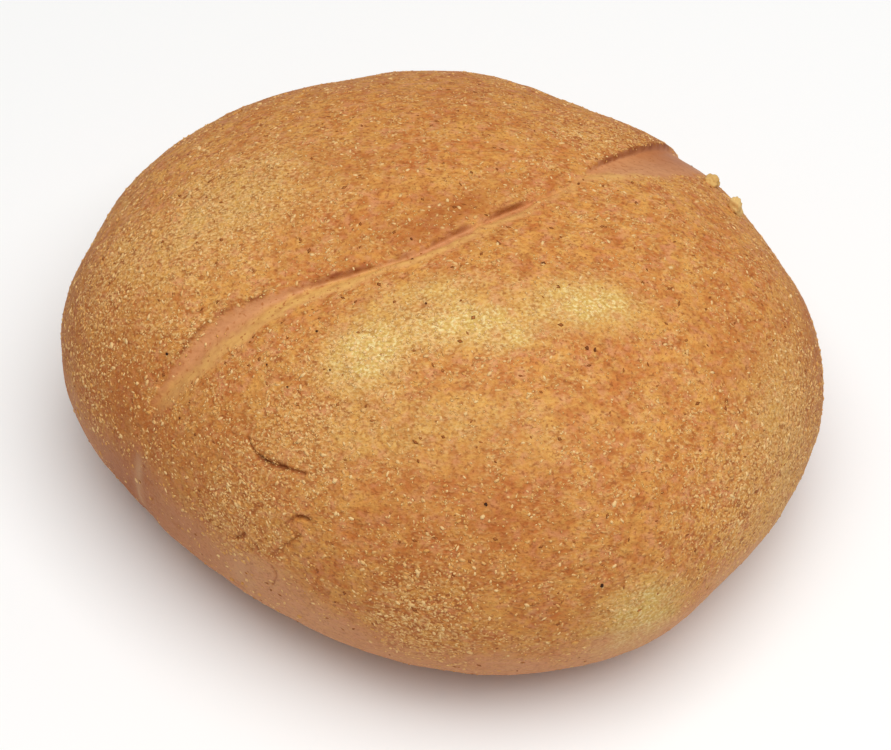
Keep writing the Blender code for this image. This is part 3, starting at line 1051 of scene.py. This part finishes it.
def baked_crust():
    """Baked wheat crust: dry and matt, dark gold with fine brown and cream mottling.

    The bare dough in the slash is smooth, pinkish near the lip and yellow farther across.
    """
    material, tree, shader = new_material("baked wheat crust", CRUST_ROUGHNESS)
    spot = add_node(tree, "ShaderNodeTexCoord", {}, {}).outputs["Object"]
    sources = {}
    for order, (name, size, length, detail) in enumerate(MOTTLES_MM):
        scale = 1 / (size * MM)
        inputs = {"Vector": spot, "Scale": (scale / length, scale, scale)}
        drawn_out = add_node(tree, "ShaderNodeMapping", {}, inputs)
        inputs = {"Vector": drawn_out.outputs[0], "W": order, "Scale": 1.0, "Detail": detail}
        mottle = add_node(tree, "ShaderNodeTexNoise", {"noise_dimensions": "4D"}, inputs)
        sources[name] = mottle.outputs["Fac"]
    for name in MARKS:
        sources[name] = add_node(tree, "ShaderNodeAttribute", {"attribute_name": name}, {}).outputs["Fac"]
    colour = paint(CRUST_COLOUR)
    for source, low, high, most, tone in CRUST_LAYERS:
        inputs = {"Value": sources[source], "From Min": low, "From Max": high}
        inputs["To Max"] = sources.get(most, most)
        amount = add_node(tree, "ShaderNodeMapRange", {}, inputs).outputs[0]
        inputs = {"Factor": amount, COLOUR_A: colour, COLOUR_B: paint(tone)}
        covered = add_node(tree, "ShaderNodeMix", {"data_type": "RGBA"}, inputs)
        colour = covered.outputs[MIXED_COLOUR]
    tree.links.new(colour, shader.inputs["Base Color"])

    inputs = {"Value": sources["bare_dough"], "To Min": 1.0, "To Max": DOUGH_BUMP_SHARE}
    rough = add_node(tree, "ShaderNodeMapRange", {}, inputs).outputs[0]
    inputs = {"Strength": rough, "Distance": CRUST_BUMP_MM * MM, "Height": sources["gold"]}
    skin = add_node(tree, "ShaderNodeBump", {}, inputs).outputs[0]
    inputs = {"Strength": rough, "Distance": DUST_BUMP_MM * MM, "Height": sources["dusty"]}
    inputs["Normal"] = skin
    fine = add_node(tree, "ShaderNodeBump", {}, inputs)
    tree.links.new(fine.outputs[0], shader.inputs["Normal"])
    inputs = {"Value": sources["bare_dough"], "To Min": CRUST_ROUGHNESS, "To Max": DOUGH_ROUGHNESS}
    smooth = add_node(tree, "ShaderNodeMapRange", {}, inputs)
    tree.links.new(smooth.outputs[0], shader.inputs["Roughness"])
    return material


def grain_material(name):
    """Milled or baked grain: matt, with each piece in its own tint between two colours."""
    dark, light, roughness = GRAIN_LOOKS[name]
    material, tree, shader = new_material(name, roughness)
    tint = add_node(tree, "ShaderNodeAttribute", {"attribute_name": "tint"}, {}).outputs["Fac"]
    inputs = {"Factor": tint, COLOUR_A: paint(dark), COLOUR_B: paint(light)}
    blend = add_node(tree, "ShaderNodeMix", {"data_type": "RGBA"}, inputs)
    tree.links.new(blend.outputs[MIXED_COLOUR], shader.inputs["Base Color"])
    return material


def floor_material():
    """Matt white paper: smooth and even, so that only the roll's soft shadow shows on it."""
    material, _, shader = new_material("matt white paper", FLOOR_ROUGHNESS)
    shader.inputs["Base Color"].default_value = paint(FLOOR_COLOUR)
    return material


def make_floor():
    """A plain pale floor."""
    ground = bmesh.new()
    bmesh.ops.create_circle(ground, cap_ends=True, segments=FLOOR_SIDES, radius=FLOOR_RADIUS)
    mesh = finished_mesh(ground, "floor")
    mesh.materials.append(floor_material())
    add_object("floor", mesh)


def add_light(name, spot, size, power):
    """A soft square light turned to the roll."""
    lamp = bpy.data.lights.new(name, "AREA")
    lamp.energy = power
    lamp.size = size
    light = add_object(name, lamp)
    light.location = spot
    light.rotation_euler = (Vector(CAMERA_TARGET) - Vector(spot)).to_track_quat("-Z", "Y").to_euler()


def make_light():
    """Soft light from above, a little in front and to the right, in a pale room."""
    add_light("soft key", KEY_PLACE, KEY_SIZE, KEY_POWER)
    world = bpy.data.worlds.new("pale room")
    bpy.context.scene.world = world
    world.use_nodes = True
    background = world.node_tree.nodes["Background"]
    background.inputs["Color"].default_value = paint(ROOM_COLOUR)
    background.inputs["Strength"].default_value = ROOM_STRENGTH
    bpy.context.scene.view_settings.view_transform = "Standard"


def make_camera():
    """The photograph's view: from the front and half above."""
    tilt = math.radians(CAMERA_ELEVATION_DEG)
    lens = bpy.data.cameras.new("camera")
    lens.lens = CAMERA_LENS
    camera = add_object("camera", lens)
    back = Vector((0.0, -math.cos(tilt), math.sin(tilt)))
    camera.location = Vector(CAMERA_TARGET) + CAMERA_DISTANCE * back
    camera.rotation_euler = (math.pi / 2 - tilt, 0.0, 0.0)
    bpy.context.scene.camera = camera


def mark_values(mesh, name):
    """One of the mesh's marks, at every point."""
    values = np.empty(len(mesh.vertices), dtype=np.float32)
    mesh.attributes[name].data.foreach_get("value", values)
    return values.astype(float)


def make_roll():
    """The crust and all that sticks to it."""
    draws = np.random.default_rng(SEED)
    crust = crust_mesh()
    piece = new_piece("baked_crust", crust, baked_crust())
    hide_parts(NODE)
    browned = 1.0 - FEWER_ON_PALE * mark_values(crust, "pale")
    dusting = mark_values(crust, "dusting") * browned
    skin = (1.0 - FEWER_ON_DOUGH * mark_values(crust, "bare_dough")) * browned
    semolina, fines, bran, scorched, crumb = (grain_material(name) for name in GRAIN_LOOKS)
    new_piece("semolina_grains", semolina_mesh(crust, dusting, draws), semolina)
    new_piece("semolina_fines", fines_mesh(crust, dusting, draws), fines)
    new_piece("bran_flakes", bran_mesh(crust, skin, draws), bran)
    new_piece("scorched_bits", placed_mesh("scorched_bits", SCORCHED_MM, draws), scorched)
    new_piece("large_grains", placed_mesh("large_grains", LARGE_GRAINS_MM, draws), semolina)
    new_piece("crust_crumbs", crumb_mesh(draws), crumb)


make_camera()
make_light()
make_floor()
make_roll()
